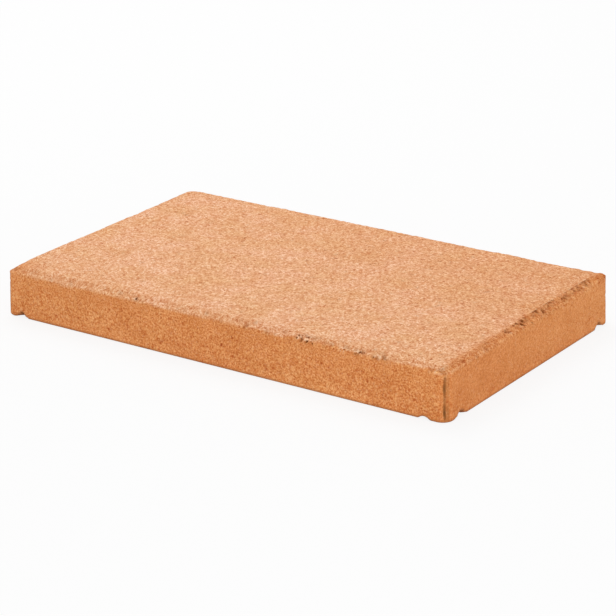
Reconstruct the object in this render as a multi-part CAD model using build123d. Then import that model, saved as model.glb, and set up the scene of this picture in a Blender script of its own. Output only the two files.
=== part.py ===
from build123d import *

import math
import os

# A flat pillar cap of coloured cast concrete, one solid piece, as it lies on its pillar: the
# underside on Z = 0, the origin at the underside's centre, the long side along X, the top up.

# Driving dimensions, in millimetres and degrees
LENGTH = 500.0  # long side, over the lower edge
WIDTH = 300.0  # short side, over the lower edge
THICKNESS = 50.0  # underside to top face
SIDE_DRAFT = 2.0  # lean of the side faces, so that the slab leaves its mould
BEVEL_INSET = 7.0  # weathering bevel round the top, measured across
BEVEL_DROP = 4.5  # weathering bevel round the top, measured down
CROWN_RADIUS = 3.0  # corners of the top face, seen from above
EDGE_BREAK = 1.0  # small chamfer round the lower edge
DRIP_WIDTH = 13.0  # drip groove, across its mouth
DRIP_DEPTH = 4.0  # drip groove, at its deepest
DRIP_SETBACK = 24.0  # lower edge of the slab to the groove's centre line

# Sizes that follow from them
SHOULDER_HEIGHT = THICKNESS - BEVEL_DROP  # where the bevel meets the side faces
DRAFT_RUN = SHOULDER_HEIGHT * math.tan(math.radians(SIDE_DRAFT))
BEVEL_LEAN = math.degrees(math.atan2(BEVEL_INSET, BEVEL_DROP))
SHOULDER_RADIUS = CROWN_RADIUS + BEVEL_INSET
BASE_RADIUS = SHOULDER_RADIUS + DRAFT_RUN
DRIP_RADIUS = (DRIP_WIDTH**2 / 4 + DRIP_DEPTH**2) / (2 * DRIP_DEPTH)


def plan(inset, radius, height):
    """The slab's rounded outline at a height, drawn in from the lower edge by an inset."""
    return Pos(0, 0, height) * RectangleRounded(LENGTH - 2 * inset, WIDTH - 2 * inset, radius)


def slab():
    """The drafted body, with the bevel on top and the lower edge broken."""
    body = extrude(plan(0, BASE_RADIUS, 0), SHOULDER_HEIGHT, taper=SIDE_DRAFT)
    crown = extrude(plan(DRAFT_RUN, SHOULDER_RADIUS, SHOULDER_HEIGHT), BEVEL_DROP, taper=BEVEL_LEAN)
    whole = body + crown
    underside = whole.faces().sort_by(Axis.Z)[0]
    return chamfer(underside.outer_wire().edges(), EDGE_BREAK)


def drip_grooves():
    """Round-bottomed channels along the four edges, which run out at both ends and so cross at the corners."""
    centre_height = DRIP_DEPTH - DRIP_RADIUS
    run_out = DRIP_WIDTH
    lengthwise = Rot(0, 90, 0) * Cylinder(DRIP_RADIUS, LENGTH + 2 * run_out)
    crosswise = Rot(90, 0, 0) * Cylinder(DRIP_RADIUS, WIDTH + 2 * run_out)
    cutters = []
    for side in (-1, 1):
        cutters.append(Pos(0, side * (WIDTH / 2 - DRIP_SETBACK), centre_height) * lengthwise)
        cutters.append(Pos(side * (LENGTH / 2 - DRIP_SETBACK), 0, centre_height) * crosswise)
    return cutters


def pillar_cap():
    """The finished cap: the slab with its drip grooves cut."""
    cap = slab()
    for groove in drip_grooves():
        cap -= groove
    return cap.solid()


os.makedirs("parts", exist_ok=True)
cap = pillar_cap()
cap.label = "pillar_cap"
export_step(cap, "parts/pillar_cap.step")
print("pillar_cap", round(cap.volume / 1e6, 4), "litres", cap.bounding_box().size)
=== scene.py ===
import math

import bmesh
import bpy
import numpy as np
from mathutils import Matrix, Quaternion, Vector, kdtree, noise


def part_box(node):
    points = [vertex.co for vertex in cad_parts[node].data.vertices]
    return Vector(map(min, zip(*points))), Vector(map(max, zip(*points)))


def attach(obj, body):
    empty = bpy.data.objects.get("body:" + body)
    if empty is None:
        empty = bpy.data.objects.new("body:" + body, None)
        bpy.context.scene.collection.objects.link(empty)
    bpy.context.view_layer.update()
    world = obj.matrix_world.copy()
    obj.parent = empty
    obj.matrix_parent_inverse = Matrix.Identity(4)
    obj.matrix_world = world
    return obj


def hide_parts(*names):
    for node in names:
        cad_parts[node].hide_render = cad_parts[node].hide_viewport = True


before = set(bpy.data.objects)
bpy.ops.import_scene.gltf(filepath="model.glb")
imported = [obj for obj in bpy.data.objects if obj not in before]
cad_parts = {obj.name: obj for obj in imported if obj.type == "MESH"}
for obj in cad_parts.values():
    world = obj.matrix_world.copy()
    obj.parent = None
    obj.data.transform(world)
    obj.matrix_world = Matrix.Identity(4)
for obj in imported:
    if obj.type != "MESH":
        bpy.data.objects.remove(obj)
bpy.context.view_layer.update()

# A pillar cap of coloured cast concrete, lying on a pale floor. The solid's form is built again
# here as one fine mesh, and then worn: a stippled top, crumbling arrises, sandy sides.

MM = 0.001  # one millimetre, in the metres that everything is kept in
TINY = 1e-9  # added to a length before something is divided by it

# Sizes of the cap, which repeat those of its solid
SIDE_DRAFT = math.radians(2.0)  # lean of the side faces
BEVEL_INSET = 7.0 * MM  # weathering bevel round the top, measured across
BEVEL_DROP = 4.5 * MM  # weathering bevel round the top, measured down
CROWN_RADIUS = 3.0 * MM  # corners of the top face, seen from above
EDGE_BREAK = 1.0 * MM  # small chamfer round the lower edge
DRIP_WIDTH = 13.0 * MM  # drip groove, across its mouth
DRIP_DEPTH = 4.0 * MM  # drip groove, at its deepest
DRIP_SETBACK = 24.0 * MM  # lower edge of the slab to the groove's centre line

# Sizes that follow from them and from the solid's box
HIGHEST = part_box("pillar_cap")[1]  # the box's corner at the far right of the top
THICKNESS = HIGHEST.z
HALF_LENGTH = HIGHEST.x + EDGE_BREAK * math.tan(SIDE_DRAFT)
HALF_WIDTH = HIGHEST.y + EDGE_BREAK * math.tan(SIDE_DRAFT)
SHOULDER = THICKNESS - BEVEL_DROP  # height at which the bevel meets the side faces
SHOULDER_RADIUS = CROWN_RADIUS + BEVEL_INSET
BASE_RADIUS = SHOULDER_RADIUS + SHOULDER * math.tan(SIDE_DRAFT)
CORE_X = HALF_LENGTH - BASE_RADIUS  # the slab is a flat core, grown outwards all round it
CORE_Y = HALF_WIDTH - BASE_RADIUS
DRIP_RADIUS = (DRIP_WIDTH**2 / 4 + DRIP_DEPTH**2) / (2 * DRIP_DEPTH)

# Wear that shows in the outline
FADE_START = 0.3  # share of its reach at which a mark of wear begins to fade
GROOVE_ENDS = (  # broken or choked ends of the grooves: X, Y, added height and reach, in millimetres
    (-231.0, -150, 2.8, 7),
    (-221.5, -150, -2.4, 9),
    (224.0, -150, -1.4, 16),
    (250.0, -130.5, 1.3, 7),
    (250.0, -121.5, 1.3, 7),
    (250.0, 130, 2.0, 8),
)
RIGHT_WEAR = 2.5 * MM  # how far back the top's right edge has worn, which widens the bevel there
RIGHT_WEAR_START = (-65.0 * MM, 30.0 * MM)  # where along Y that begins, and where it is whole
RIGHT_WEAR_END = 120.0 * MM  # where along Y it begins to run out towards the corner

# Fineness of the mesh
CELL = 1.6 * MM  # cells of the top, and columns of the sides
SIDE_ROW = 2.4 * MM  # rows of the side faces
BEVEL_CELL = 1.2 * MM  # rows of the bevel
UNDERSIDE_ROW = 3.5 * MM  # rows between the lower edge and the core's edge
UNDERSIDE_STRIDE = 4  # cells of the underside, in cells of the top
CORNER_STEPS = 24  # columns round an upright corner
CRUMB_CUTS = 2  # new vertices on each edge of the cells that crumble
ARRIS_WEAR = 2.8 * MM  # length of the profile over which an arris is rounded off
ARRIS_SAMPLES = 15  # points of the profile that are averaged over that length
SHARP_ANGLE = math.radians(50)  # faces that meet at more than this show an edge


def smooth(low, high, value):
    """0 below low, 1 above high and an even S between them."""
    share = np.clip((value - low) / (high - low), 0, 1)
    return share * share * (3 - 2 * share)


def fading(away, start=FADE_START):
    """1 close to a place and 0 from one reach away, with the distance counted in reaches."""
    return 1 - smooth(start, 1, away)


def drip_height(x, y):
    """Height of the underside above its bed, which is zero except in the drip grooves."""
    height = np.zeros_like(x)
    for across, reach in ((x, HALF_LENGTH), (y, HALF_WIDTH)):
        aside = np.abs(np.abs(across) - (reach - DRIP_SETBACK))
        arc = np.sqrt(np.maximum(DRIP_RADIUS**2 - aside**2, 0))
        height = np.maximum(height, arc - (DRIP_RADIUS - DRIP_DEPTH))
    for end_x, end_y, added, reach in GROOVE_ENDS:
        away = np.hypot(x - end_x * MM, y - end_y * MM) / (reach * MM)
        height += added * MM * fading(away)
    return np.maximum(height, 0)


def worn_back(y):
    """How far back the top's right edge has worn."""
    return RIGHT_WEAR * smooth(*RIGHT_WEAR_START, y) * (1 - smooth(RIGHT_WEAR_END, CORE_Y, y))


def between(breaks, spacings):
    """Positions through every break, about a spacing apart."""
    positions = [breaks[0]]
    for start, end, spacing in zip(breaks, breaks[1:], spacings):
        count = max(1, round((end - start) / spacing))
        positions.extend(np.linspace(start, end, count + 1)[1:])
    return np.array(positions)


def grid_lines(reach, core):
    """Grid lines across the core, with one on each edge of the drip grooves."""
    groove = reach - DRIP_SETBACK
    half = [groove - DRIP_WIDTH / 2, groove + DRIP_WIDTH / 2, core]
    breaks = [-at for at in reversed(half)] + half
    return between(breaks, [CELL] * (len(breaks) - 1))


def kept_lines(lines, reach):
    """Numbers of the grid lines that the underside keeps: all those near its edge, and few elsewhere."""
    plain = reach - DRIP_SETBACK - DRIP_WIDTH / 2 - CELL / 2
    return [i for i, at in enumerate(lines) if abs(at) > plain or i % UNDERSIDE_STRIDE == 0]


def profile_rows():
    """Offset from the core and height of each row of the skin, from the top round to the underside."""
    corners = np.array(
        [
            (0, THICKNESS),
            (CROWN_RADIUS, THICKNESS),
            (SHOULDER_RADIUS, SHOULDER),
            (BASE_RADIUS - EDGE_BREAK * math.tan(SIDE_DRAFT), EDGE_BREAK),
            (BASE_RADIUS - EDGE_BREAK, 0),
            (0, 0),
        ]
    )
    along = np.concatenate([[0], np.cumsum(np.hypot(*np.diff(corners, axis=0).T))])
    rows = between(along, [CELL, BEVEL_CELL, SIDE_ROW, CELL, UNDERSIDE_ROW])
    window = np.minimum(ARRIS_WEAR / 2, np.minimum(rows, along[-1] - rows))
    samples = rows[:, None] + window[:, None] * np.linspace(-1, 1, ARRIS_SAMPLES)
    offset = np.interp(samples, along, corners[:, 0]).mean(axis=1)
    height = np.interp(samples, along, corners[:, 1]).mean(axis=1)
    return list(zip(offset, height))


def upright_columns(count_x, count_y):
    """Place on the core's edge and outward direction of each column, anticlockwise from front left."""
    sides = (
        [(i, 0) for i in range(count_x)],
        [(count_x - 1, j) for j in range(count_y)],
        [(i, count_y - 1) for i in reversed(range(count_x))],
        [(0, j) for j in reversed(range(count_y))],
    )
    places = []
    angles = []
    for quarter, side in enumerate(sides):
        facing = (quarter - 1) * math.pi / 2
        turns = [facing + math.pi / 2 * step / CORNER_STEPS for step in range(1, CORNER_STEPS)]
        places += side + [side[-1]] * len(turns)
        angles += [facing] * len(side) + turns
    return places, np.stack([np.cos(angles), np.sin(angles)], axis=1)


def top_cells(count_x, count_y):
    """Faces of the top's flat core."""
    faces = []
    for j in range(count_y - 1):
        for i in range(count_x - 1):
            first = j * count_x + i
            faces.append([first, first + 1, first + count_x + 1, first + count_x])
    return faces


def band(upper, lower):
    """Faces between two closed rows; where neighbours are one vertex, the face is a triangle."""
    quads = zip(upper, lower, lower[1:] + lower[:1], upper[1:] + upper[:1])
    return [list(dict.fromkeys(quad)) for quad in quads]


def underside_cells(numbers, kept_x, kept_y):
    """Faces between the kept lines of the underside, through all the vertices of its rim."""
    faces = []
    for west, east in zip(kept_x, kept_x[1:]):
        for south, north in zip(kept_y, kept_y[1:]):
            ring = [(i, south) for i in (range(west, east) if south == 0 else [west])]
            ring += [(east, j) for j in (range(south, north) if east == kept_x[-1] else [south])]
            ring += [(i, north) for i in (range(east, west, -1) if north == kept_y[-1] else [east])]
            ring += [(west, j) for j in (range(north, south, -1) if west == 0 else [north])]
            faces.append([numbers[place] for place in reversed(ring)])
    return faces


def with_worn_outline(points):
    """The points with the top's right edge worn back, and the grooves lifted off the bed."""
    on_edge = np.interp(points[:, 0] - CORE_X, (0, CROWN_RADIUS, SHOULDER_RADIUS), (0, 1, 0))
    points[:, 0] -= np.where(points[:, 2] > SHOULDER / 2, on_edge * worn_back(points[:, 1]), 0)
    above_bed = np.clip(1 - points[:, 2] / SHOULDER, 0, 1)
    points[:, 2] += above_bed * drip_height(points[:, 0], points[:, 1])
    return points


def cast_form():
    """Vertices and faces of the cap, with its outline worn and its skin still smooth."""
    lines_x = grid_lines(HALF_LENGTH, CORE_X)
    lines_y = grid_lines(HALF_WIDTH, CORE_Y)
    points = [(x, y, THICKNESS) for y in lines_y for x in lines_x]
    faces = top_cells(len(lines_x), len(lines_y))
    rim, outward = upright_columns(len(lines_x), len(lines_y))
    anchors = np.array([(lines_x[i], lines_y[j]) for i, j in rim])
    upper = [j * len(lines_x) + i for i, j in rim]
    for offset, height in profile_rows()[1:-1]:
        lower = list(range(len(points), len(points) + len(rim)))
        points.extend((x, y, height) for x, y in anchors + offset * outward)
        faces.extend(band(upper, lower))
        upper = lower
    kept_x = kept_lines(lines_x, HALF_LENGTH)
    kept_y = kept_lines(lines_y, HALF_WIDTH)
    inner = [(i, j) for i in kept_x[1:-1] for j in kept_y[1:-1]]
    underside = list(dict.fromkeys(rim + inner))
    numbers = {place: len(points) + index for index, place in enumerate(underside)}
    points.extend((lines_x[i], lines_y[j], 0) for i, j in underside)
    faces.extend(band(upper, [numbers[place] for place in rim]))
    faces.extend(underside_cells(numbers, kept_x, kept_y))
    return with_worn_outline(np.array(points)), faces


# Relief of the skin
RANDOM = np.random.default_rng(41)  # the same draws each time
NOISES = {  # wavelength in millimetres, octaves and seed of each noise
    "stipple": (5.5, 2, 1),
    "sway": (45.0, 3, 2),
    "bloom and sheen border": (30.0, 4, 3),
    "seam": (14.0, 3, 5),
    "bloom and sheen fringe": (7.0, 2, 6),
    "crumbs": (3.4, 3, 7),
}
NOISE_FALL = 0.6  # how fast finer octaves grow weaker
NOISE_RATIO = 2.0  # wavelength of an octave over that of the next
NOISE_SHIFT = (1.7, 2.3, 3.1)  # from one seed to the next, in wavelengths
TOP_TILT = (0.93, 0.995)  # upward part of a normal at which the top begins, and is whole
SIDE_TILT = (0.12, 0.4)  # upward or downward part at which the sides begin to end, and have ended
STIPPLE = {"top": 0.35 * MM, "bevel": 0.45 * MM, "side": 0.15 * MM}  # height of the small bumps
SWAY = {"top": 0.2 * MM, "bevel": 0.9 * MM, "side": 0.15 * MM}  # height of the broad waves
PEAK = 0.25  # noise level that stands as high as the smooth form
STRAIGHT_EDGE = 6.0 * MM  # height above the bed over which the relief comes in
RUBBED_CORNERS = (  # signs of X and Y, reach and depth, in millimetres
    ((-1, -1), 45, 1.9),
    ((-1, 1), 24, 1.8),
)
FULL_CORNER = (1, 1)  # the far right corner, where the right bevel runs out
FULL_REACH = 30.0 * MM  # distance from that corner over which the bevel is raised
FULL_HEIGHT = 2.6 * MM  # how far it is raised at the corner
FULL_FACING = (0.3, 0.8)  # part of a normal along X at which the right bevel begins, and is whole

# Pits, which lie anywhere, and crumbled stretches of the bevels
PIT_ZONE = 0.7  # how far a vertex belongs to a zone before a pit may lie there
PITS = (  # zone, number, radii and depths of the small hollows, in millimetres
    ("top", 600, (1.7, 2.8), (0.2, 0.7)),
    ("top", 90, (1.6, 2.4), (1.0, 1.8)),
    ("side", 180, (1.7, 2.4), (0.2, 0.5)),
    ("bevel", 220, (1.8, 4.0), (0.3, 1.0)),
)
RAGGEDNESS = 0.5  # share of a hollow's radius by which the stipple draws in its rim
CRUMBLES = (  # crumbled stretches: bevel, place along it, height, reach and depth, in millimetres
    ("front", -90, 46.5, 4.0, 0.8),
    ("front", 36, 45.5, 4.0, 0.5),
    ("front", 100, 47.0, 10.0, 0.9),
    ("front", 141, 46.5, 6.0, 0.7),
    ("front", 157, 46.5, 7.0, 0.8),
    ("front", 180, 46.5, 10.0, 0.5),
    ("front", 238, 46.0, 9.0, 0.35),
    ("right", -36, 49.5, 9.0, 0.6),
    ("right", -11, 49.5, 14.0, 1.2),
    ("right", 24, 49.5, 15.0, 0.85),
    ("right", 48, 49.5, 10.0, 0.7),
    ("right", 70, 49.0, 11.0, 0.6),
    ("right", 94, 49.0, 12.0, 0.6),
    ("right", 114, 49.0, 10.0, 0.6),
)
NICKS = (  # the deepest holes in them: bevel, place along it, height, radius and depth, in millimetres
    ("front", -90, 47.0, 1.5, 2.4),
    ("front", 36, 45.0, 1.3, 0.9),
    ("front", 92, 46.5, 1.4, 1.2),
    ("front", 93, 48.0, 1.4, 1.4),
    ("front", 102, 48.5, 1.3, 1.2),
    ("front", 103, 46.0, 1.6, 1.8),
    ("front", 109, 45.5, 1.3, 1.1),
    ("front", 140, 45.0, 1.4, 1.0),
    ("front", 158, 47.0, 1.6, 2.3),
    ("front", 173, 46.0, 1.3, 0.9),
    ("front", 184, 46.5, 1.3, 0.8),
    ("front", 241, 49.0, 1.5, 0.6),
    ("right", -21, 49.5, 1.6, 1.2),
    ("right", -12, 48.0, 1.8, 1.7),
    ("right", -7, 49.0, 1.8, 1.8),
    ("right", 2, 46.0, 1.5, 1.1),
    ("right", 16, 49.5, 1.4, 1.0),
    ("right", 20, 49.0, 1.4, 1.0),
    ("right", 30, 49.0, 1.4, 0.9),
    ("right", 41, 48.5, 1.4, 0.9),
    ("right", 73, 48.5, 1.4, 0.7),
)
CRUMBLE_FADE_START = 0.4  # share of its reach at which a crumbled stretch begins to fade
CRUMBLE_FLATNESS = 2.5  # how much longer than high such a stretch is
CRUMBLE_ZONE = (0, 0.5)  # how far a vertex belongs to the bevel where it begins, and is at full depth
HOLE_NOISE = (0.05, 0.5)  # noise level at which a hole begins in it, and is at its deepest
CRUMB_NOISE = (0.1, 0.5)  # noise level below zero at which a pale crumb begins, and is whole
CRUMB_DEPTH = 0.6 * MM  # depth of a stretch at which its crumbs are palest
ARRIS_CRUMBS = 0.14  # paleness of the crumbs along the foot of the bevel
ARRIS_BAND = (0.66 * MM, 2.2 * MM)  # distances from it at which they begin to fade, and end

# Mould seams up the corners
SEAM_LINES = ((-0.8 * MM, 1.0), (2.2 * MM, 0.45))  # offset from the corner's middle, and strength
SEAM_EDGE = (0.56 * MM, 1.96 * MM)  # distances from a line at which it begins to fade, and ends
SEAM_TOP = (SHOULDER - 6.0 * MM, SHOULDER - 1.0 * MM)  # heights at which it does the same
SEAM_DEPTH = 0.8 * MM
SEAM_WANDER = 0.5 * MM  # how far noise moves a line aside
SEAM_STRENGTH = (0.3, 0.8)  # least and mean strength along a line
SEAM_ENDS = 0.2  # strength that is added at both ends, and taken at the middle
SEAM_UNEVENNESS = 0.5  # strength that noise adds or takes


def fractal(points, name):
    """One of the noises at each point, mostly within 1 of zero."""
    wavelength, octaves, seed = NOISES[name]
    start = Vector([seed * shift for shift in NOISE_SHIFT])
    places = [start + Vector(point) / (wavelength * MM) for point in points]
    return np.array([noise.fractal(place, NOISE_FALL, NOISE_RATIO, octaves) for place in places])


def vertex_vectors(mesh, name):
    """A vector that the mesh holds at its vertices, such as place or normal, as rows of an array."""
    values = np.zeros(len(mesh.vertices) * 3)
    mesh.vertices.foreach_get(name, values)
    return values.reshape(-1, 3)


def skin_zones(normals):
    """How far each vertex belongs to the top, the bevel and the sides, from 0 to 1."""
    up = normals[:, 2]
    top = smooth(*TOP_TILT, up)
    side = 1 - smooth(*SIDE_TILT, np.abs(up))
    bevel = np.where(up > 0, np.clip(1 - top - side, 0, 1), 0)
    return {"top": top, "bevel": bevel, "side": side}


def over_zones(amounts, zones):
    """An amount at each vertex, from one amount for each zone."""
    return sum(amounts[name] * zones[name] for name in zones)


def near_corner(points, corner, reach):
    """1 near one upright corner, down to 0 at a distance from it."""
    away = points[:, :2] - np.array(corner) * (HALF_LENGTH, HALF_WIDTH)
    return fading(np.hypot(away[:, 0], away[:, 1]) / reach)


def skin_relief(points, zones, outward, stipple):
    """Height of the skin's bumps and waves, and where its rubbed corners and its full corner are."""
    sway = fractal(points, "sway")
    relief = over_zones(STIPPLE, zones) * (stipple - PEAK) + over_zones(SWAY, zones) * (sway - PEAK)
    rubbed = np.zeros(len(points))
    for corner, reach, depth in RUBBED_CORNERS:
        near = near_corner(points, corner, reach * MM)
        rubbed = np.maximum(rubbed, near)
        relief -= depth * MM * near * (zones["bevel"] + zones["top"])
    full = near_corner(points, FULL_CORNER, FULL_REACH) * smooth(*FULL_FACING, outward[:, 0])
    relief += FULL_HEIGHT * full * zones["bevel"]
    return relief, rubbed, full


def on_bevel(side, along, height):
    """A place on the front or the right bevel, from millimetres along it and up from the bed."""
    climb = (height * MM - SHOULDER) / BEVEL_DROP
    inset = SHOULDER * math.tan(SIDE_DRAFT) + climb * BEVEL_INSET
    if side == "front":
        return Vector((along * MM, inset - HALF_WIDTH, height * MM))
    return Vector((HALF_LENGTH - inset - climb * worn_back(along * MM), along * MM, height * MM))


def crumbling(points, bevel):
    """Greatest depth of the holes at each point, zero outside the crumbled stretches of the bevel."""
    stretch = np.zeros(len(points))
    for side, along, height, reach, depth in CRUMBLES:
        offset = (points - np.array(on_bevel(side, along, height))) * (1, 1, CRUMBLE_FLATNESS)
        away = np.linalg.norm(offset, axis=1) / (reach * MM)
        stretch = np.maximum(stretch, depth * MM * fading(away, CRUMBLE_FADE_START))
    return stretch * smooth(*CRUMBLE_ZONE, bevel)


def divide_crumbling(mesh):
    """Divides the cells that crumble, so that the mesh can hold small holes there."""
    bevel = skin_zones(vertex_vectors(mesh, "normal"))["bevel"]
    stretch = crumbling(vertex_vectors(mesh, "co"), bevel)
    fine = bmesh.new()
    fine.from_mesh(mesh)
    edges = [edge for edge in fine.edges if all(stretch[corner.index] > 0 for corner in edge.verts)]
    bmesh.ops.subdivide_edges(fine, edges=edges, cuts=CRUMB_CUTS, use_grid_fill=True)
    fine.to_mesh(mesh)
    fine.free()


def crumbled(points, bevel):
    """Depth of the holes in the crumbled stretches, and how pale the crumbs on the bevel are."""
    stretch = crumbling(points, bevel)
    ragged = fractal(points, "crumbs")
    arris = ARRIS_CRUMBS * (1 - smooth(*ARRIS_BAND, np.abs(points[:, 2] - SHOULDER)))
    crumb = np.maximum(smooth(0, CRUMB_DEPTH, stretch), arris) * smooth(*CRUMB_NOISE, -ragged)
    return stretch * smooth(*HOLE_NOISE, ragged), crumb


def search_tree(points):
    """A tree that finds the points near a place."""
    tree = kdtree.KDTree(len(points))
    for index, point in enumerate(points):
        tree.insert(point, index)
    tree.balance()
    return tree


def bites(tree, rough, places, radii, depths):
    """Depth at each vertex of ragged hollows, the deepest where they meet."""
    found = np.zeros(len(rough))
    for place, radius, depth in zip(places, radii, depths):
        for _, index, distance in tree.find_range(place, radius):
            share = distance / radius + RAGGEDNESS * abs(rough[index])
            found[index] = max(found[index], depth * (1 - share**2))
    return found


def scattered(zone, count, points, radius_range, depth_range):
    """Places on a zone of the skin with a radius and a depth for each, drawn at random."""
    chosen = RANDOM.choice(np.flatnonzero(zone > PIT_ZONE), count)
    radii = RANDOM.uniform(*radius_range, count) * MM
    depths = RANDOM.uniform(*depth_range, count) * MM
    return points[chosen], radii, depths


def hollows(points, zones, stipple):
    """Depth of the chips in the bevel, depth of chips and pits together, and how pale the crumbs are."""
    tree = search_tree(points)
    chip, crumb = crumbled(points, zones["bevel"])
    for side, along, height, radius, depth in NICKS:
        nick = bites(tree, stipple, [on_bevel(side, along, height)], [radius * MM], [depth * MM])
        chip = np.maximum(chip, nick)
    hollow = chip
    for name, count, radii, depths in PITS:
        pits = bites(tree, stipple, *scattered(zones[name], count, points, radii, depths))
        hollow = np.maximum(hollow, pits)
    return chip, hollow, crumb


def mould_seam(points, side):
    """Up to 1 along the two lines up each corner that the edges of the mould's plates left."""
    past_x = np.abs(points[:, 0]) - CORE_X
    past_y = np.abs(points[:, 1]) - CORE_Y
    in_corner = (past_x > 0) & (past_y > 0)
    ragged = fractal(points, "seam")
    aside = (past_x - past_y) / math.sqrt(2) + SEAM_WANDER * ragged
    line = np.zeros(len(points))
    for offset, share in SEAM_LINES:
        line = np.maximum(line, share * (1 - smooth(*SEAM_EDGE, np.abs(aside - offset))))
    least, mean = SEAM_STRENGTH
    both_ends = SEAM_ENDS * np.cos(2 * math.pi * points[:, 2] / SHOULDER)
    strength = np.clip(mean + both_ends + SEAM_UNEVENNESS * ragged, least, 1)
    below_bevel = 1 - smooth(*SEAM_TOP, points[:, 2])
    return in_corner * side * below_bevel * strength * line


def kept_inside(points):
    """Points drawn back to the bed, the top and the rounded sides of the smooth form."""
    height = np.clip(points[:, 2], 0, THICKNESS)
    core = np.clip(points[:, :2], (-CORE_X, -CORE_Y), (CORE_X, CORE_Y))
    outward = points[:, :2] - core
    reach = np.hypot(outward[:, 0], outward[:, 1]) + TINY
    limit = BASE_RADIUS - np.maximum(height, EDGE_BREAK) * math.tan(SIDE_DRAFT)
    outward *= np.minimum(1, limit / reach)[:, None]
    return np.column_stack([core + outward, height])


# Lime bloom and painted sheen: a paler top, partly a pale film of lime and partly painted sheen, that
# spills over the front and left bevels
BLOOM_AND_SHEEN_SPILL = 0.4  # its strength on a bevel, before the next line changes it
BLOOM_AND_SHEEN_FACING = (-0.35, -0.4)  # what it gains on a bevel that faces +X, and on one that faces +Y
BLOOM_AND_SHEEN_CORNER = (1, -1)  # the front right corner, where the right bevel has more of it
BLOOM_AND_SHEEN_CORNER_REACH = 110.0 * MM
BLOOM_AND_SHEEN_CORNER_SPILL = 0.2  # strength that it gains there
BLOOM_AND_SHEEN_FOOT = -0.2 * MM  # height of its lower border over the shoulder, halfway along the cap
BLOOM_AND_SHEEN_FOOT_RISE = 2.2 * MM  # how much higher that border is at the right end
BLOOM_AND_SHEEN_FOOT_SOFTNESS = 0.9 * MM  # half the border's width
BLOOM_AND_SHEEN_TOP = (-1.3 * MM, -0.1 * MM)  # heights from the top at which its own film begins, and is whole
BLOOM_AND_SHEEN_FRINGE = 0.2  # share of the finer noise in both borders
BLOOM_AND_SHEEN_FOOT_WANDER = 1.5 * MM  # how far noise moves the lower border
BLOOM_AND_SHEEN_TOP_WANDER = 0.5 * MM  # how far noise moves the border of the top's film
FAR_RIGHT = (0.6, 0.7)  # weights of X and Y, in halves of the cap, on a scale towards the far right
FAR_RIGHT_SPAN = (-0.3, 1)  # where on that scale the top's film begins to thin, and is thinnest
FAR_RIGHT_THINNING = 0.3  # share of the film that is gone there
EDGE_THINNING = 0.75  # share of the film that is gone at the top's right edge
EDGE_THINNING_REACH = 3.0 * MM  # distance from that edge over which most of it comes back
FOOT_LINE = 0.4 * MM  # height over the shoulder of the pale line along the right bevel's foot, partly a worn arris and partly a painted highlight
FOOT_LINE_EDGE = (0.2 * MM, 1.2 * MM)  # distances from it at which it begins to fade, and ends
FOOT_LINE_STRENGTH = 0.06
FOOT_LINE_CORNER = 0.3  # strength that it gains at the front right corner

# Numbers that the material reads at the vertices
RUBBED_BLOOM_AND_SHEEN = 0.8  # share of the bloom and painted sheen that is gone in a rubbed corner
GRIME_AND_SHADE_RISE = 2.3 * MM  # height above the shoulder over which grime and painted shade come in
GRIME_AND_SHADE_FULL = 0.4  # share of the grime and painted shade that the full corner lacks
COVERED_GRIME_AND_SHADE = 0.35  # share of the grime and painted shade that the bloom and painted sheen cover
STIPPLE_SHADE = 0.6  # how fast painted shade darkens the stipple's hollows
HOLLOW_SHADE_DEPTH = 1.5 * MM  # depth at which the painted shade in a hollow is darkest
CHIP_SHADE_DEPTH = 1.2 * MM  # depth at which the painted shade in a chip is darkest
RIGHT_CRUMBS = 0.85  # share of the crumbs' paleness that the right bevel lacks
GRIT = {"top": 0.65, "bevel": 0.8, "side": 1.05}  # strength of the fine sand
END_SMOOTHNESS = 0.5  # share of it that the short sides lack
DAPPLE = {"top": 1.0, "bevel": 0.8, "side": 0.2}  # strength of the coarse sand
DOWNWARD_SHADE_TILT = (0.1, 0.6)  # downward part of a normal at which the painted shade on faces that look down begins, and is whole
WASHES = (  # paler or deeper patches: place and reach each way, in millimetres, and change of tone
    ((110, -150, 2), (100, 30, 18), 0.065),
    ((-95, -150, 2), (75, 30, 15), 0.05),
    ((-130, -150, 20), (26, 30, 20), 0.045),
    ((200, -150, 20), (30, 30, 16), -0.045),
    ((250, 150, 48), (45, 40, 14), -0.09),
    ((243, -143, 47), (16, 16, 7), 0.07),
    ((250, -150, 25), (30, 200, 60), -0.03),
    ((250, 150, 25), (30, 150, 60), 0.03),
)
WASH_LIMIT = 0.1  # greatest change of tone, either way


def bloom_and_sheen_on_top(points, wobble):
    """Bloom and painted sheen on the top, thinner towards the far right and close to the right edge."""
    film = smooth(*BLOOM_AND_SHEEN_TOP, points[:, 2] - THICKNESS + BLOOM_AND_SHEEN_TOP_WANDER * wobble)
    far_right = points[:, :2] / (HALF_LENGTH, HALF_WIDTH) @ FAR_RIGHT
    from_edge = np.maximum(CORE_X + CROWN_RADIUS - worn_back(points[:, 1]) - points[:, 0], 0)
    film *= 1 - FAR_RIGHT_THINNING * smooth(*FAR_RIGHT_SPAN, far_right)
    film *= 1 - EDGE_THINNING * np.exp(-from_edge / EDGE_THINNING_REACH)
    return film


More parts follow.
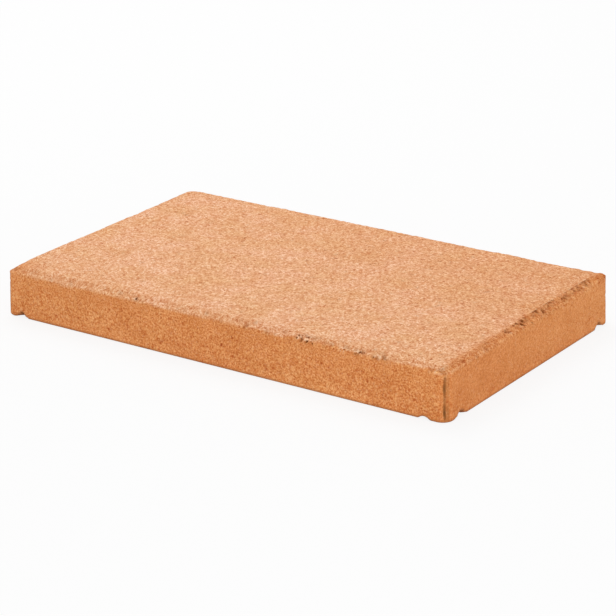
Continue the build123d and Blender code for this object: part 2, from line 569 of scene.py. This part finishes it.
def bloom_and_sheen_on_bevel(points, outward, wobble):
    """Bloom and painted sheen that have run over the bevels, and a pale line along the foot of the right
    one, partly worn arris and partly painted highlight.
    """
    above_shoulder = points[:, 2] - SHOULDER
    facing_right = np.clip(outward[:, 0], 0, 1)
    corner = near_corner(points, BLOOM_AND_SHEEN_CORNER, BLOOM_AND_SHEEN_CORNER_REACH) * facing_right
    spill = np.clip(BLOOM_AND_SHEEN_SPILL + BLOOM_AND_SHEEN_CORNER_SPILL * corner + outward @ BLOOM_AND_SHEEN_FACING, 0, 1)
    border = BLOOM_AND_SHEEN_FOOT + BLOOM_AND_SHEEN_FOOT_RISE * points[:, 0] / HALF_LENGTH - BLOOM_AND_SHEEN_FOOT_WANDER * wobble
    spill *= smooth(-BLOOM_AND_SHEEN_FOOT_SOFTNESS, BLOOM_AND_SHEEN_FOOT_SOFTNESS, above_shoulder - border)
    line = 1 - smooth(*FOOT_LINE_EDGE, np.abs(above_shoulder - FOOT_LINE))
    line *= FOOT_LINE_STRENGTH * facing_right + FOOT_LINE_CORNER * corner
    return np.maximum(spill, line)


def lime_bloom_and_sheen(points, outward):
    """Strength of the bloom and painted sheen, from 0 to 1."""
    wobble = fractal(points, "bloom and sheen border") + BLOOM_AND_SHEEN_FRINGE * fractal(points, "bloom and sheen fringe")
    return np.maximum(bloom_and_sheen_on_bevel(points, outward, wobble), bloom_and_sheen_on_top(points, wobble))


def washed(points):
    """Change of tone at each point, paler or deeper in the listed patches."""
    change = np.zeros(len(points))
    for place, reach, amount in WASHES:
        change += amount * fading(np.linalg.norm((points / MM - place) / reach, axis=1))
    return change


def worn(points, normals):
    """The worn vertices, and the numbers at each of them that the material reads."""
    zones = skin_zones(normals)
    outward = normals[:, :2] / (np.hypot(normals[:, 0], normals[:, 1]) + TINY)[:, None]
    stipple = fractal(points, "stipple")
    relief, rubbed, full = skin_relief(points, zones, outward, stipple)
    chip, hollow, crumb = hollows(points, zones, stipple)
    seam = mould_seam(points, zones["side"])
    relief = (relief - hollow) * smooth(0, STRAIGHT_EDGE, points[:, 2]) - SEAM_DEPTH * seam
    moved = kept_inside(points + normals * relief[:, None])

    # bloom and sheen: partly lime on the concrete, partly painted sheen on the top and on the bevels
    # that face front and left
    bloom_and_sheen = lime_bloom_and_sheen(points, outward) * (1 - RUBBED_BLOOM_AND_SHEEN * rubbed)
    upper_bevel = zones["bevel"] * smooth(SHOULDER, SHOULDER + GRIME_AND_SHADE_RISE, points[:, 2])
    end = zones["side"] * np.abs(outward[:, 0])
    finish = {
        "bloom_and_sheen": bloom_and_sheen,
        # grime and painted shade on the upper part of the bevels
        "grime_and_shade": upper_bevel * (1 - GRIME_AND_SHADE_FULL * full) * (1 - COVERED_GRIME_AND_SHADE * bloom_and_sheen),
        # painted shade in the stipple's hollows
        "low": np.clip(0.5 - STIPPLE_SHADE * stipple, 0, 1),
        # painted shade in pits and chips, darker as they deepen
        "hollow": np.clip(hollow / HOLLOW_SHADE_DEPTH, 0, 1),
        # painted shade in the chips of the bevels
        "chip": np.clip(chip / CHIP_SHADE_DEPTH, 0, 1),
        "crumb": crumb * (1 - RIGHT_CRUMBS * np.clip(outward[:, 0], 0, 1)),
        "seam": seam,
        "grit": over_zones(GRIT, zones) * (1 - END_SMOOTHNESS * end),
        "dapple": over_zones(DAPPLE, zones),
        # painted shade on the lower chamfer, the grooves and the underside, which face down
        "foot": smooth(*DOWNWARD_SHADE_TILT, -normals[:, 2]),
        "end": end,
        "wash": 0.5 + washed(points) / (2 * WASH_LIMIT),
    }
    return moved, finish


def cast_slab():
    """The cap's worn skin, as one closed mesh that stands for its solid."""
    points, faces = cast_form()
    mesh = bpy.data.meshes.new("cast_slab")
    mesh.from_pydata(points.tolist(), [], faces)
    divide_crumbling(mesh)
    moved, finish = worn(vertex_vectors(mesh, "co"), vertex_vectors(mesh, "normal"))
    mesh.vertices.foreach_set("co", moved.ravel())
    for name, values in finish.items():
        mesh.attributes.new(name, "FLOAT", "POINT").data.foreach_set("value", values)
    mesh.shade_smooth()
    mesh.set_sharp_from_angle(angle=SHARP_ANGLE)
    mesh.update()
    slab = bpy.data.objects.new("cast_slab", mesh)
    bpy.context.scene.collection.objects.link(slab)
    return slab


# Nodes
def add_node(tree, kind, inputs=(), **settings):
    """A new node with its settings, and with its inputs, as pairs of a socket and a number or output."""
    made = tree.nodes.new(kind)
    for name, value in settings.items():
        setattr(made, name, value)
    for socket, value in inputs:
        if isinstance(value, bpy.types.NodeSocket):
            tree.links.new(value, made.inputs[socket])
        else:
            made.inputs[socket].default_value = value
    return made


def maths(tree, operation, *numbers):
    """The result of a sum on numbers and outputs."""
    return add_node(tree, "ShaderNodeMath", enumerate(numbers), operation=operation).outputs[0]


def spread(tree, value, old_range, new_range):
    """A value stretched from one range to another, and held at its ends."""
    sockets = ("From Min", "From Max", "To Min", "To Max")
    inputs = (("Value", value), *zip(sockets, (*old_range, *new_range)))
    return add_node(tree, "ShaderNodeMapRange", inputs).outputs["Result"]


MIX_INPUTS = (0, 6, 7)  # sockets of a mix node for its factor and its two colours
MIX_OUTPUT = 2  # socket of a mix node for the mixed colour


def mixed(tree, factor, first, second, blend="MIX"):
    """A colour mixed or multiplied with another."""
    settings = {"data_type": "RGBA", "blend_type": blend}
    inputs = zip(MIX_INPUTS, (factor, first, second))
    return add_node(tree, "ShaderNodeMix", inputs, **settings).outputs[MIX_OUTPUT]


def scaled(tree, colour, channels):
    """A colour with its red, green and blue each multiplied by a number."""
    factor = add_node(tree, "ShaderNodeCombineColor", enumerate(channels)).outputs[0]
    return mixed(tree, 1.0, colour, factor, "MULTIPLY")


def shaded(tree, colour, factor):
    """A colour made lighter or darker by a number."""
    return scaled(tree, colour, [factor] * 3)


def attribute(tree, name):
    """A number that the mesh holds at its vertices."""
    return add_node(tree, "ShaderNodeAttribute", attribute_name=name).outputs["Fac"]


def grain(tree, place, wavelength, octaves):
    """Even noise from 0 to 1, with waves about a wavelength long and finer ones in them."""
    inputs = (
        ("Vector", place),
        ("Scale", 1 / wavelength),
        ("Detail", octaves),
        ("Roughness", GRAIN_ROUGHNESS),
    )
    return add_node(tree, "ShaderNodeTexNoise", inputs).outputs["Fac"]


def sand_grains(tree, place, size):
    """A number from 0 to 1 for each grain of sand, the same all over the grain."""
    cells = add_node(tree, "ShaderNodeTexVoronoi", (("Vector", place), ("Scale", 1 / size)))
    return add_node(tree, "ShaderNodeSeparateColor", ((0, cells.outputs["Color"]),)).outputs[0]


# Colours of the concrete
SIDE_DEEP = (0.685, 0.248, 0.072, 1)  # iron-oxide concrete as it leaves the mould
SIDE_PALE = (0.755, 0.297, 0.098, 1)
TOP_COLOUR = (0.85, 0.44, 0.243, 1)  # the same with a pale bloom of lime and a painted sheen
TOP_WARM = (0.83, 0.435, 0.214, 1)
# grime and painted shade along the upper bevel
GRIME_AND_SHADE_TINT = (0.92, 0.88, 0.86, 1)
PALE_SAND = (0.95, 0.56, 0.32, 1)
PALE_CRUMB = (1.0, 0.64, 0.4, 1)
# dark brown painted shade in the chips
CHIP_SHADE_COLOUR = (0.2, 0.045, 0.0, 1)
SEAM_COLOUR = (0.2, 0.075, 0.018, 1)
PALING = (1.0, 2.2, 3.3)  # powers of a tone that change red, green and blue: blue most, red least

# Patterns of the concrete
PATCHES = (45.0 * MM, 2)  # wavelength and octaves
MOTTLE = (22.0 * MM, 3)
COARSE_SAND = (3.0 * MM, 1)
FINE_SAND = (1.5 * MM, 2)
GRAIN_ROUGHNESS = 0.6  # strength of an octave over that of the one before
GRAIN_SIZE = 1.3 * MM  # grains that are a tone of their own
SPECK_SIZE = 2.4 * MM  # larger grains, of which few show
SAND_HEIGHT = 0.55 * MM  # bumps that are too fine for the mesh

# Ranges of the patterns and of the numbers at the vertices, and what they are stretched to
WHOLE = (0, 1)
PATCH_NOISE = (0.35, 0.65)
SAND_NOISE = (0.3, 0.7)
SAND_TONE = (-0.25, 0.25)
COARSE_TONE = (-0.14, 0.14)
PATCH_TONE = (1.02, 0.98)
DARK_GRAINS = (0, 0.2)
DARK_GRAIN_TONE = (0.85, 1)
DARK_SPECKS = (0, 0.04)
DARK_SPECK_TONE = (0.75, 1)
END_SPECK_TONE = (0, 0.94)  # least tone of a speck, from the long sides to the short ones
WASH_TONE = (1 - WASH_LIMIT, 1 + WASH_LIMIT)
PALE_GRAINS = (0.84, 1)
PALE_GRAIN_SHARE = (0, 0.25)
PALE_SPECKS = (0.97, 1)
PALE_SPECK_SHARE = (0, 0.6)
CRUMB_SHARE = (0, 0.9)
LOWEST = (3.0 * MM, 10.0 * MM)  # heights above the bed, between which the sides turn paler downwards
LOWEST_SHADE = (1.05, 1)
SHADES = (  # painted shade in hollows and on downward faces: a number at the vertices, its range and the shades that it turns into
    ("low", (0.1, 0.9), (1.02, 0.98)),
    ("hollow", WHOLE, (1, 0.65)),
    ("foot", WHOLE, (1, 0.6)),
)
ROUGHNESS = (0.84, 0.98)
GLOSS = 0.2  # strength of the sheen that is left


def concrete_patterns(tree, place):
    """Numbers from 0 to 1 that vary over the concrete, from broad patches to grains of sand."""
    return {
        "patches": spread(tree, grain(tree, place, *PATCHES), PATCH_NOISE, WHOLE),
        "mottle": spread(tree, grain(tree, place, *MOTTLE), PATCH_NOISE, WHOLE),
        "coarse": grain(tree, place, *COARSE_SAND),
        "sand": grain(tree, place, *FINE_SAND),
        "grains": sand_grains(tree, place, GRAIN_SIZE),
        "specks": sand_grains(tree, place, SPECK_SIZE),
    }


def plain_colour(tree, patterns):
    """Terracotta, paler where lime has bloomed and sheen is painted, with grime and painted shade along
    the upper bevel.
    """
    side = mixed(tree, patterns["mottle"], SIDE_DEEP, SIDE_PALE)
    top = mixed(tree, patterns["patches"], TOP_COLOUR, TOP_WARM)
    # paler where the bloom of lime and the painted sheen lie
    colour = mixed(tree, attribute(tree, "bloom_and_sheen"), side, top)
    return mixed(tree, attribute(tree, "grime_and_shade"), colour, GRIME_AND_SHADE_TINT, "MULTIPLY")


def sandy_tone(tree, patterns):
    """A number about 1 that sand, grains, specks, patches and washes make paler or deeper."""
    sand = spread(tree, patterns["sand"], SAND_NOISE, SAND_TONE)
    coarse = spread(tree, patterns["coarse"], SAND_NOISE, COARSE_TONE)
    tone = maths(tree, "MULTIPLY_ADD", attribute(tree, "grit"), sand, 1)
    tone = maths(tree, "MULTIPLY_ADD", attribute(tree, "dapple"), coarse, tone)
    least_speck = spread(tree, attribute(tree, "end"), WHOLE, END_SPECK_TONE)
    specks = spread(tree, patterns["specks"], DARK_SPECKS, DARK_SPECK_TONE)
    changes = (
        spread(tree, patterns["grains"], DARK_GRAINS, DARK_GRAIN_TONE),
        maths(tree, "MAXIMUM", specks, least_speck),
        spread(tree, patterns["patches"], WHOLE, PATCH_TONE),
        spread(tree, attribute(tree, "wash"), WHOLE, WASH_TONE),
    )
    for change in changes:
        tone = maths(tree, "MULTIPLY", tone, change)
    return tone


def with_pale_sand(tree, colour, patterns):
    """A colour with pale grains all over, and larger ones where the coarse sand shows."""
    grains = spread(tree, patterns["grains"], PALE_GRAINS, PALE_GRAIN_SHARE)
    colour = mixed(tree, grains, colour, PALE_SAND)
    specks = spread(tree, patterns["specks"], PALE_SPECKS, PALE_SPECK_SHARE)
    specks = maths(tree, "MULTIPLY", attribute(tree, "dapple"), specks)
    return mixed(tree, specks, colour, PALE_SAND)


def with_wear(tree, colour, place):
    """A colour paler low down, with marks of wear and painted shade: pale crumbs, painted shade in
    hollows, on downward faces and in chips, and dark seams.
    """
    height = add_node(tree, "ShaderNodeSeparateXYZ", ((0, place),)).outputs["Z"]
    colour = shaded(tree, colour, spread(tree, height, LOWEST, LOWEST_SHADE))
    crumbs = spread(tree, attribute(tree, "crumb"), WHOLE, CRUMB_SHARE)
    colour = mixed(tree, crumbs, colour, PALE_CRUMB)
    # painted shade in the stipple's hollows, in pits and chips, and on faces that look down
    for name, extent, shades in SHADES:
        colour = shaded(tree, colour, spread(tree, attribute(tree, name), extent, shades))
    # painted shade in the chips, then the dark marks of the mould seams
    colour = mixed(tree, attribute(tree, "chip"), colour, CHIP_SHADE_COLOUR)
    return mixed(tree, attribute(tree, "seam"), colour, SEAM_COLOUR)


def sandy_normal(tree, patterns):
    """The surface's normal over bumps of fine and coarse sand."""
    coarse = maths(tree, "MULTIPLY", attribute(tree, "dapple"), patterns["coarse"])
    rough = maths(tree, "MULTIPLY_ADD", attribute(tree, "grit"), patterns["sand"], coarse)
    inputs = (("Strength", 1.0), ("Distance", SAND_HEIGHT), ("Height", rough))
    return add_node(tree, "ShaderNodeBump", inputs).outputs["Normal"]


def coloured_concrete():
    """Sandy terracotta concrete, paler where lime has bloomed and sheen is painted, with painted shade
    in hollows, chips and on downward faces, and dark mould seams.
    """
    material = bpy.data.materials.new("coloured_concrete")
    material.use_nodes = True
    tree = material.node_tree
    shader = tree.nodes["Principled BSDF"]
    place = add_node(tree, "ShaderNodeTexCoord").outputs["Object"]
    patterns = concrete_patterns(tree, place)
    tone = sandy_tone(tree, patterns)
    channels = [maths(tree, "POWER", tone, power) for power in PALING]
    colour = scaled(tree, plain_colour(tree, patterns), channels)
    colour = with_pale_sand(tree, colour, patterns)
    colour = with_wear(tree, colour, place)
    tree.links.new(colour, shader.inputs["Base Color"])
    tree.links.new(spread(tree, patterns["sand"], SAND_NOISE, ROUGHNESS), shader.inputs["Roughness"])
    tree.links.new(sandy_normal(tree, patterns), shader.inputs["Normal"])
    shader.inputs["Specular IOR Level"].default_value = GLOSS
    return material


# Stage
WHITE = (1, 1, 1, 1)
FLOOR_REACH = 6.0  # half the floor's side
FLOOR_DROP = 0.1 * MM  # clear of the underside
FLOOR_COLOUR = (0.9, 0.9, 0.9, 1)
FLOOR_GLOW = 0.85  # share of the floor that shows plain white; the rest takes the cap's shadow
WORLD_LIGHT = 0.65  # strength of the even light from all round
WORLD_SEEN = 1.0  # its strength where it is seen, which is white
SOFTBOXES = {"key_softbox": (-1.1, 0.9, 2.1), "fill_softbox": (1.8, -1.9, 1.0)}  # where they hang
SOFTBOX_SIDE = 1.6
SOFTBOX_POWER = 21  # watts
CAMERA_PLACE = Vector((1.20187, -1.73826, 0.7971))
CAMERA_AIM = Vector((0.02497, -0.03179, 0.025))
CAMERA_ROLL = math.radians(-0.5524)
CAMERA_LENS = 137.075  # on the default sensor, 36 mm wide


def seen_directly(tree):
    """1 for the camera's own rays, and those that gloss or glass sends on."""
    rays = add_node(tree, "ShaderNodeLightPath").outputs
    seen = maths(tree, "MAXIMUM", rays["Is Camera Ray"], rays["Is Glossy Ray"])
    return maths(tree, "MAXIMUM", seen, rays["Is Transmission Ray"])


def floor_finish():
    """Matt and pale, and mostly plain white to the camera."""
    material = bpy.data.materials.new("studio_floor")
    material.use_nodes = True
    tree = material.node_tree
    tree.nodes.clear()
    matt = add_node(tree, "ShaderNodeBsdfDiffuse", (("Color", FLOOR_COLOUR),)).outputs[0]
    white = add_node(tree, "ShaderNodeEmission", (("Color", WHITE), ("Strength", 1.0))).outputs[0]
    glow = maths(tree, "MULTIPLY", seen_directly(tree), FLOOR_GLOW)
    surface = add_node(tree, "ShaderNodeMixShader", ((0, glow), (1, matt), (2, white))).outputs[0]
    add_node(tree, "ShaderNodeOutputMaterial", (("Surface", surface),))
    return material


def studio_floor():
    """A pale floor that shows white with a soft shadow."""
    signs = ((-1, -1), (1, -1), (1, 1), (-1, 1))
    corners = [(x * FLOOR_REACH, y * FLOOR_REACH, -FLOOR_DROP) for x, y in signs]
    mesh = bpy.data.meshes.new("studio_floor")
    mesh.from_pydata(corners, [], [(0, 1, 2, 3)])
    mesh.materials.append(floor_finish())
    floor = bpy.data.objects.new("studio_floor", mesh)
    bpy.context.scene.collection.objects.link(floor)
    return floor


def studio_world():
    """White where it is seen, and soft even light from all round."""
    world = bpy.data.worlds.new("studio")
    world.use_nodes = True
    tree = world.node_tree
    background = tree.nodes["Background"]
    background.inputs["Color"].default_value = WHITE
    strength = spread(tree, seen_directly(tree), WHOLE, (WORLD_LIGHT, WORLD_SEEN))
    tree.links.new(strength, background.inputs["Strength"])
    bpy.context.scene.world = world


def softbox(name, place):
    """A square soft light that points at the cap."""
    data = bpy.data.lights.new(name, "AREA")
    data.size = SOFTBOX_SIDE
    data.energy = SOFTBOX_POWER
    light = bpy.data.objects.new(name, data)
    light.location = place
    light.rotation_mode = "QUATERNION"
    light.rotation_quaternion = (-Vector(place)).to_track_quat("-Z", "Y")
    bpy.context.scene.collection.objects.link(light)


def photo_camera():
    """The camera at the photograph's viewing angle."""
    data = bpy.data.cameras.new("photo_camera")
    data.lens = CAMERA_LENS
    camera = bpy.data.objects.new("photo_camera", data)
    camera.location = CAMERA_PLACE
    camera.rotation_mode = "QUATERNION"
    facing = (CAMERA_AIM - CAMERA_PLACE).to_track_quat("-Z", "Y")
    camera.rotation_quaternion = facing @ Quaternion((0, 0, 1), CAMERA_ROLL)
    bpy.context.scene.collection.objects.link(camera)
    bpy.context.scene.camera = camera


slab = cast_slab()
slab.data.materials.append(coloured_concrete())
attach(slab, "root")
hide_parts("pillar_cap")

studio_floor()
studio_world()
for name, place in SOFTBOXES.items():
    softbox(name, place)
photo_camera()
bpy.context.scene.view_settings.view_transform = "Standard"
